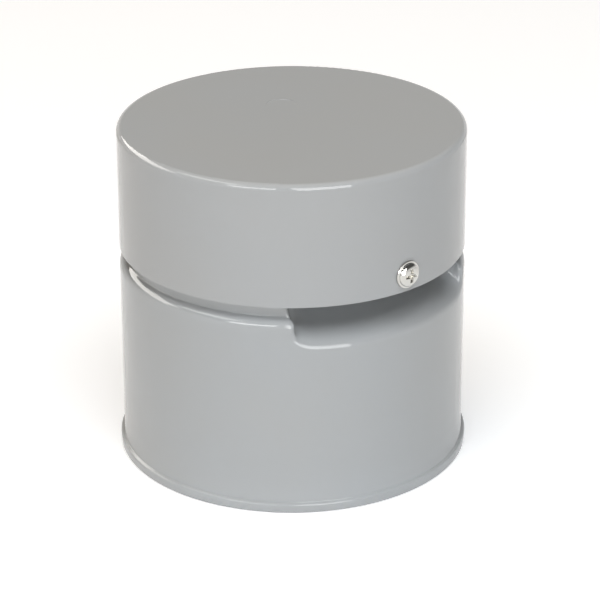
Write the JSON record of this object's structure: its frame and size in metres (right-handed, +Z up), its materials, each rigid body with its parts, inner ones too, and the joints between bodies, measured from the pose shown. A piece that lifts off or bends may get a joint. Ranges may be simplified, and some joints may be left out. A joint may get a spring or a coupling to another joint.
{
  "type": "air admittance valve",
  "caption": "Grey plastic air admittance valve for a soil pipe: round body with foot flange and air inlets under a screwed drum-shaped cap, with a lifting rubber ring inside.",
  "frame": {"origin": "centre of the foot flange's underside, where the object stands", "axes": "+Z up along the pipe's axis; the two air inlets and cap screws face -Y and +Y"},
  "size_m": [0.12, 0.122, 0.1149],
  "materials": {
    "pvc": "satin, slightly soft moulded PVC",
    "inner_plastic": "smooth moulded",
    "screen_plastic": "smooth moulded",
    "seal_rubber": "matt",
    "valve_rubber": "matt",
    "steel": "bright plated"
  },
  "bodies": {
    "housing": {"body": "pvc", "cap": "pvc", "cap_screws": "steel", "cap_seal": "seal_rubber", "seat_plate": "inner_plastic", "seat_gaskets": "seal_rubber", "insect_screen": "screen_plastic", "guide_post": "inner_plastic"},
    "valve_disc": {"diaphragm_carrier": "inner_plastic", "diaphragm": "valve_rubber", "diaphragm_clamp": "inner_plastic"}
  },
  "joints": [
    {"name": "valve_lift", "type": "slide", "parent": "housing", "child": "valve_disc", "axis": [0, 0, 1], "range_m": [0, 0.008]}
  ]
}
